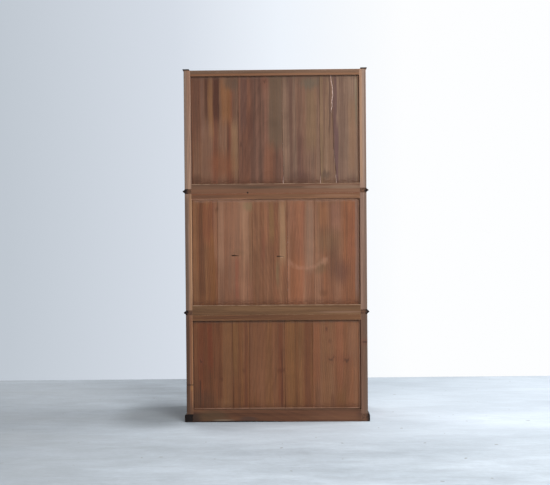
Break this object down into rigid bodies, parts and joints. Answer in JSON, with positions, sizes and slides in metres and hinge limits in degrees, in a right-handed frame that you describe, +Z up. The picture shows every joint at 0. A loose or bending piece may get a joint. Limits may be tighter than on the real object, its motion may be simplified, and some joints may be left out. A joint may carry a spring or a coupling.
{
  "type": "kitchen cabinet",
  "caption": "Stacked mizuya kitchen cabinet with frame-and-panel back, slatted and battened sliding doors, drawers with bail pulls and projecting sills.",
  "frame": {"origin": "on the floor, below the middle of the cabinet's whole box", "axes": "+Z up; the doors and drawers face -Y and the boarded back faces +Y; +X is the right-hand side seen from the front"},
  "size_m": [0.925, 0.4332, 1.761],
  "materials": {
    "lacquer": "dark lacquer, rubbed at the edges",
    "frame_cedar": "aged, unfinished behind and wiped with dark lacquer elsewhere",
    "back_cedar": "aged and unfinished, sawn and planed",
    "side_cedar": "wiped lacquer",
    "inner_cedar": "unfinished",
    "door_wood": "wiped lacquer",
    "drawer_wood": "wiped lacquer",
    "iron": "blackened"
  },
  "bodies": {
    "lower_case": {"lower_sills": "lacquer", "lower_posts": "frame_cedar", "lower_back_rails": "frame_cedar", "lower_front_rails": "frame_cedar", "lower_side_rails": "frame_cedar", "lower_side_panels": "side_cedar", "lower_back_boards": "back_cedar", "lower_floor_board": "inner_cedar", "lower_roof_board": "inner_cedar"},
    "middle_case": {"middle_sills": "lacquer", "middle_posts": "frame_cedar", "middle_back_rails": "frame_cedar", "middle_front_rails": "frame_cedar", "middle_side_rails": "frame_cedar", "middle_side_panels": "side_cedar", "middle_back_boards": "back_cedar", "middle_floor_board": "inner_cedar", "middle_roof_board": "inner_cedar", "middle_shelf": "inner_cedar", "middle_drawer_deck": "inner_cedar", "middle_drawer_guides": "inner_cedar"},
    "top_case": {"top_sills": "lacquer", "top_posts": "frame_cedar", "top_back_rails": "frame_cedar", "top_front_rails": "frame_cedar", "top_side_rails": "frame_cedar", "top_side_panels": "side_cedar", "top_back_boards": "back_cedar", "top_floor_board": "inner_cedar", "top_roof_board": "inner_cedar", "top_shelf": "inner_cedar", "top_caps": "lacquer"},
    "lower_left_door": {"lower_left_door_frame": "door_wood", "lower_left_door_panel": "door_wood", "lower_left_door_pull": "iron"},
    "lower_right_door": {"lower_right_door_frame": "door_wood", "lower_right_door_panel": "door_wood", "lower_right_door_pull": "iron"},
    "middle_left_door": {"middle_left_door_frame": "door_wood", "middle_left_door_lattice": "door_wood"},
    "middle_right_door": {"middle_right_door_frame": "door_wood", "middle_right_door_lattice": "door_wood"},
    "top_left_door": {"top_left_door_frame": "door_wood", "top_left_door_lattice": "door_wood"},
    "top_right_door": {"top_right_door_frame": "door_wood", "top_right_door_lattice": "door_wood"},
    "drawer_1": {"drawer_1_front": "drawer_wood", "drawer_1_box": "inner_cedar", "drawer_1_eyes": "iron"},
    "drawer_1_bail": {"drawer_1_bail": "iron"},
    "drawer_2": {"drawer_2_front": "drawer_wood", "drawer_2_box": "inner_cedar", "drawer_2_eyes": "iron"},
    "drawer_2_bail": {"drawer_2_bail": "iron"},
    "drawer_3": {"drawer_3_front": "drawer_wood", "drawer_3_box": "inner_cedar", "drawer_3_eyes": "iron"},
    "drawer_3_bail": {"drawer_3_bail": "iron"}
  },
  "joints": [
    {"name": "middle_case_lift", "type": "slide", "parent": "lower_case", "child": "middle_case", "axis": [0, 0, 1], "range_m": [0, 0.12]},
    {"name": "top_case_lift", "type": "slide", "parent": "middle_case", "child": "top_case", "axis": [0, 0, 1], "range_m": [0, 0.12]},
    {"name": "lower_left_door_slide", "type": "slide", "parent": "lower_case", "child": "lower_left_door", "axis": [1, 0, 0], "range_m": [0, 0.396]},
    {"name": "lower_right_door_slide", "type": "slide", "parent": "lower_case", "child": "lower_right_door", "axis": [1, 0, 0], "range_m": [-0.396, 0]},
    {"name": "middle_left_door_slide", "type": "slide", "parent": "middle_case", "child": "middle_left_door", "axis": [1, 0, 0], "range_m": [0, 0.396]},
    {"name": "middle_right_door_slide", "type": "slide", "parent": "middle_case", "child": "middle_right_door", "axis": [1, 0, 0], "range_m": [-0.396, 0]},
    {"name": "top_left_door_slide", "type": "slide", "parent": "top_case", "child": "top_left_door", "axis": [1, 0, 0], "range_m": [0, 0.396]},
    {"name": "top_right_door_slide", "type": "slide", "parent": "top_case", "child": "top_right_door", "axis": [1, 0, 0], "range_m": [-0.396, 0]},
    {"name": "drawer_1_slide", "type": "slide", "parent": "middle_case", "child": "drawer_1", "axis": [0, -1, 0], "range_m": [0, 0.26]},
    {"name": "drawer_1_bail_swing", "type": "hinge", "parent": "drawer_1", "child": "drawer_1_bail", "pos_m": [-0.28167, -0.2124, 1.0645], "axis": [-1, 0, 0], "range_deg": [0, 95]},
    {"name": "drawer_2_slide", "type": "slide", "parent": "middle_case", "child": "drawer_2", "axis": [0, -1, 0], "range_m": [0, 0.26]},
    {"name": "drawer_2_bail_swing", "type": "hinge", "parent": "drawer_2", "child": "drawer_2_bail", "pos_m": [0, -0.2124, 1.0645], "axis": [-1, 0, 0], "range_deg": [0, 95]},
    {"name": "drawer_3_slide", "type": "slide", "parent": "middle_case", "child": "drawer_3", "axis": [0, -1, 0], "range_m": [0, 0.26]},
    {"name": "drawer_3_bail_swing", "type": "hinge", "parent": "drawer_3", "child": "drawer_3_bail", "pos_m": [0.28167, -0.2124, 1.0645], "axis": [-1, 0, 0], "range_deg": [0, 95]}
  ]
}
